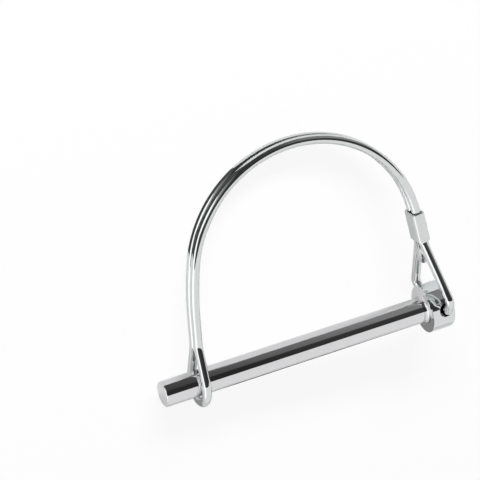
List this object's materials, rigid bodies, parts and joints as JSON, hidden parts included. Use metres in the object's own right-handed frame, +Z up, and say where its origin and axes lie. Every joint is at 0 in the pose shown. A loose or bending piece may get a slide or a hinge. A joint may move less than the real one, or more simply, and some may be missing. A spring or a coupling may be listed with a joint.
{
  "type": "hitch pin",
  "caption": "Round steel hitch pin with a turned head and a hinged double-wire bail whose loop closes round the shaft near its tip",
  "frame": {"origin": "on the shaft's axis, in the plane of the head's underside", "axes": "+X leads from the tip to the head, in plan along the shaft; +Y leads from the shaft to the top of the bail; +Z is up, and the pin lies on its side as it rests on a level surface, with the shaft's tip 4.4 degrees lower than its head and the bail's top 5.5 degrees lower than the shaft"},
  "size_m": [0.0765, 0.0592, 0.0202],
  "materials": {
    "plated_pin": "bright nickel plate over turned steel",
    "plated_wire": "bright nickel plate over drawn spring wire",
    "plated_sleeve": "bright nickel plate over pressed steel strip"
  },
  "bodies": {
    "pin": {"pin": "plated_pin"},
    "bail": {"bail_wire": "plated_wire", "sleeve": "plated_sleeve"}
  },
  "joints": [
    {"name": "bail_swing", "type": "hinge", "parent": "pin", "child": "bail", "pos_m": [0.00359, 0.0007, 0.0002], "axis": [0.0753, -0.0965, -0.9925], "range_deg": [0, 225]}
  ]
}
